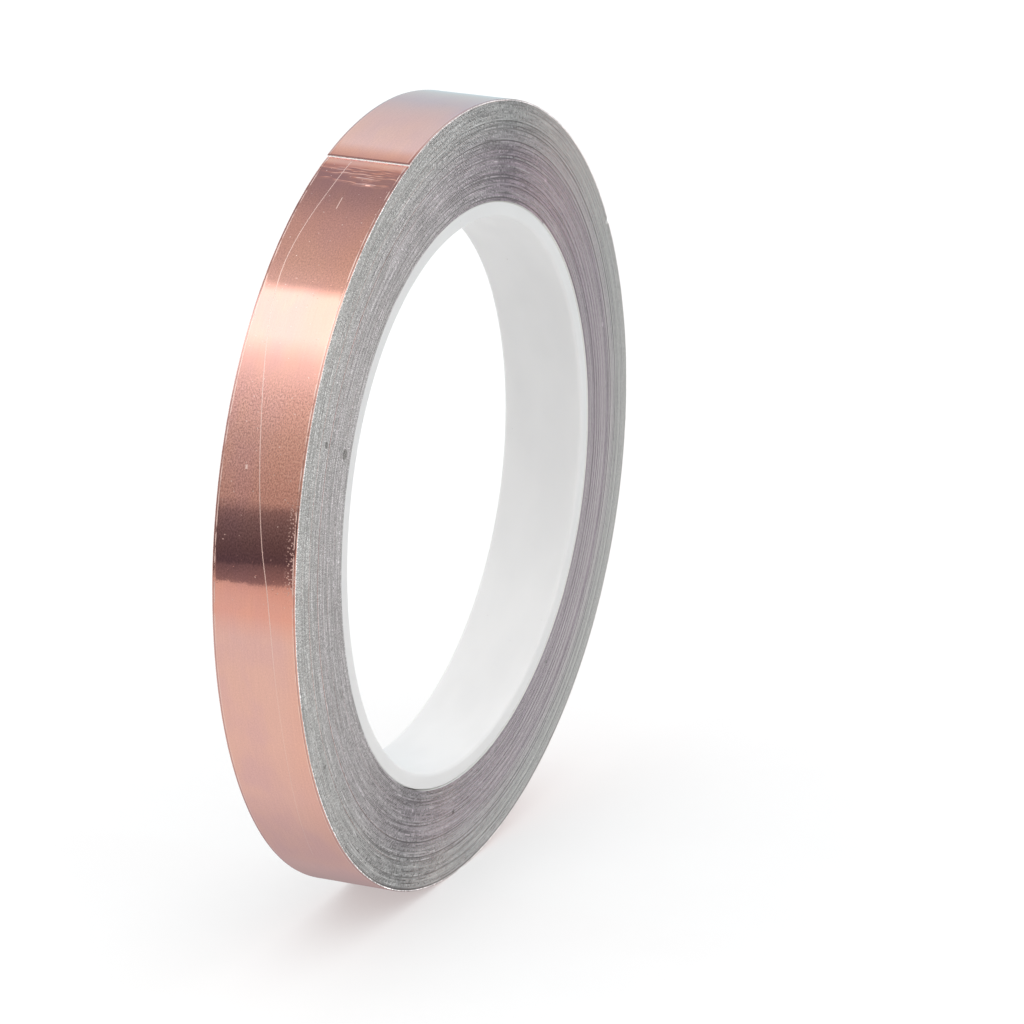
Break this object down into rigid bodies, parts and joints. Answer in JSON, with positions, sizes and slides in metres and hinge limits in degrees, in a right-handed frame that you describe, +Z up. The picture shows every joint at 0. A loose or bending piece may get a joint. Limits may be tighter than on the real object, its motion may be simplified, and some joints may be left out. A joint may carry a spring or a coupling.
{
  "type": "copper foil tape roll",
  "caption": "Roll of adhesive-backed copper foil tape wound on a plastic core over a paper release liner, with a loose end that peels up.",
  "frame": {"origin": "centre of the core bore, halfway across the tape's width", "axes": "+Y along the core bore, +Z up as the roll stands on its rim, +X to the right seen from the -Y side"},
  "size_m": [0.1085, 0.012, 0.1085],
  "materials": {
    "core_plastic": "satin, slightly translucent white",
    "fixing_tape": "tacky",
    "liner_paper": "smooth, silicone coated",
    "adhesive": "clear acrylic, tacky",
    "copper": "bright rolled copper"
  },
  "bodies": {
    "roll": {"core": "core_plastic", "core_fixing_tape": "fixing_tape", "release_liner": "liner_paper", "adhesive_layer": "adhesive", "copper_foil": "copper"},
    "tape_tail": {"adhesive_tail": "adhesive", "foil_tail": "copper"},
    "liner_tail": {"liner_tail": "liner_paper"}
  },
  "joints": [
    {"name": "tail_peel", "type": "hinge", "parent": "roll", "child": "tape_tail", "pos_m": [0.01335, 0, 0.05267], "axis": [0, 1, 0], "range_deg": [0, 70]},
    {"name": "liner_peel", "type": "hinge", "parent": "roll", "child": "liner_tail", "pos_m": [0.01333, 0, 0.05259], "axis": [0, 1, 0], "range_deg": [0, 29.4]}
  ],
  "couplings": [
    {"joint": "liner_peel", "follows": "tail_peel", "ratio": 0.42}
  ]
}
